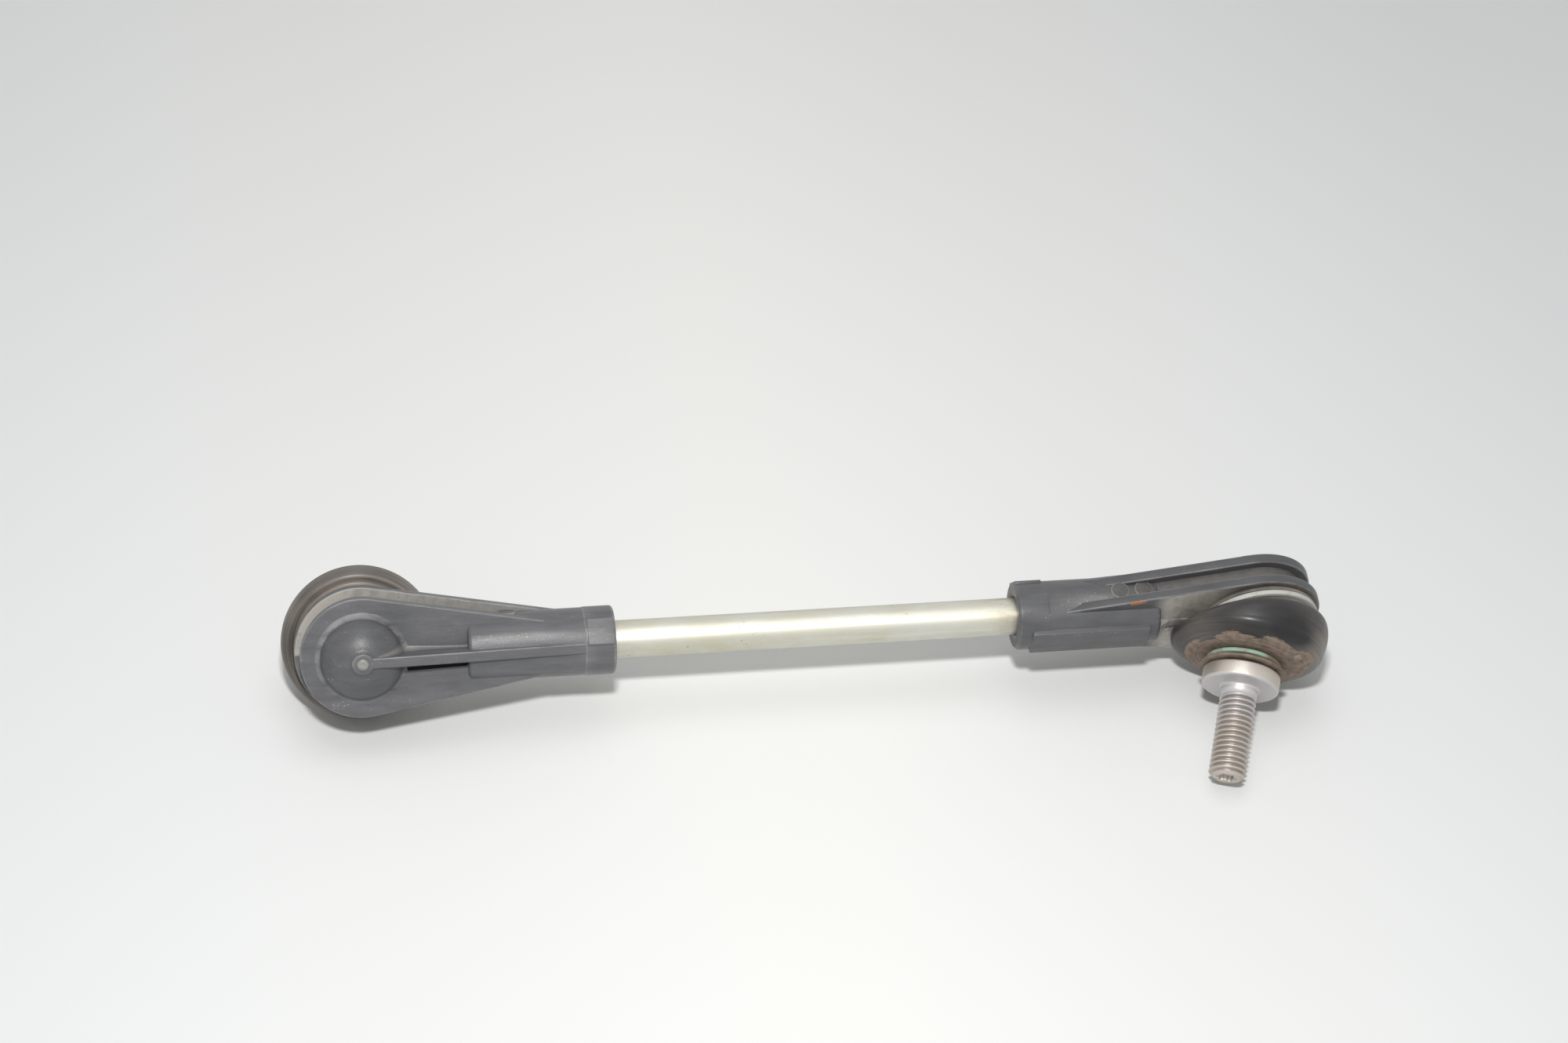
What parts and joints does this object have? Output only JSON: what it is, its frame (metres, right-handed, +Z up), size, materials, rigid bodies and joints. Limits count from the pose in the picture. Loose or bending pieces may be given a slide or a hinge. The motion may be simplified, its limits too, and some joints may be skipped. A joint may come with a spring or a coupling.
{
  "type": "stabilizer link",
  "caption": "Stabilizer link for a vehicle suspension: a straight steel tie rod with moulded ball-joint ends, rubber boots and flanged threaded studs turned to different sides.",
  "frame": {"origin": "floor point under the middle of the link as it lies on its two stud ends; the ball centres are 26.1 mm up", "axes": "+X along the tie rod from the left end to the right end, +Z up; the left stud points to +Y and the right stud to -Y"},
  "size_m": [0.2813, 0.0956, 0.0429],
  "materials": {
    "rod_steel": "zinc plated, scratched",
    "housing_plastic": "dark moulded plastic, dusty",
    "seat_plastic": "smooth",
    "closing_plastic": "moulded",
    "ball_steel": "polished",
    "stud_steel": "plated, dull",
    "boot_rubber": "smooth, partly dirty",
    "clamp_plastic": "pale, dusty",
    "lip_plastic": "pale green",
    "washer_steel": "brown with dirt"
  },
  "bodies": {
    "link": {"tie_rod": "rod_steel", "left_housing": "housing_plastic", "left_ball_seat": "seat_plastic", "left_closing_ring": "closing_plastic", "left_clamp_ring": "clamp_plastic", "right_housing": "housing_plastic", "right_ball_seat": "seat_plastic", "right_closing_ring": "closing_plastic", "right_clamp_ring": "clamp_plastic"},
    "left_boot": {"left_boot": "boot_rubber"},
    "left_lip": {"left_lip_ring": "lip_plastic", "left_shield_washer": "washer_steel"},
    "left_stud": {"left_ball": "ball_steel", "left_stud": "stud_steel"},
    "right_boot": {"right_boot": "boot_rubber"},
    "right_lip": {"right_lip_ring": "lip_plastic", "right_shield_washer": "washer_steel"},
    "right_stud": {"right_ball": "ball_steel", "right_stud": "stud_steel"}
  },
  "joints": [
    {"name": "left_swing_along", "type": "hinge", "parent": "link", "child": "left_boot", "pos_m": [-0.11937, -0.00048, 0.02609], "axis": [0, -0.5519, -0.8339], "range_deg": [-23.5, 20.5], "deforming": ["left_boot"]},
    {"name": "left_swing_across", "type": "hinge", "parent": "left_boot", "child": "left_lip", "pos_m": [-0.11937, -0.00048, 0.02609], "axis": [-0.9997, 0.0218, -0.0144], "range_deg": [-13.8, 30.2], "deforming": ["left_boot"]},
    {"name": "left_spin", "type": "hinge", "parent": "left_lip", "child": "left_stud", "pos_m": [-0.11937, -0.00048, 0.02609], "axis": [0.0259, 0.9038, -0.4272], "continuous": true},
    {"name": "right_swing_along", "type": "hinge", "parent": "link", "child": "right_boot", "pos_m": [0.12262, -0.00048, 0.02609], "axis": [0, 0.1994, -0.9799], "range_deg": [-39, 5], "deforming": ["right_boot"]},
    {"name": "right_swing_across", "type": "hinge", "parent": "right_boot", "child": "right_lip", "pos_m": [0.12262, -0.00048, 0.02609], "axis": [0.9563, -0.2865, -0.0583], "range_deg": [-33, 11], "deforming": ["right_boot"]},
    {"name": "right_spin", "type": "hinge", "parent": "right_lip", "child": "right_stud", "pos_m": [0.12262, -0.00048, 0.02609], "axis": [-0.287, -0.8818, -0.3741], "continuous": true}
  ]
}
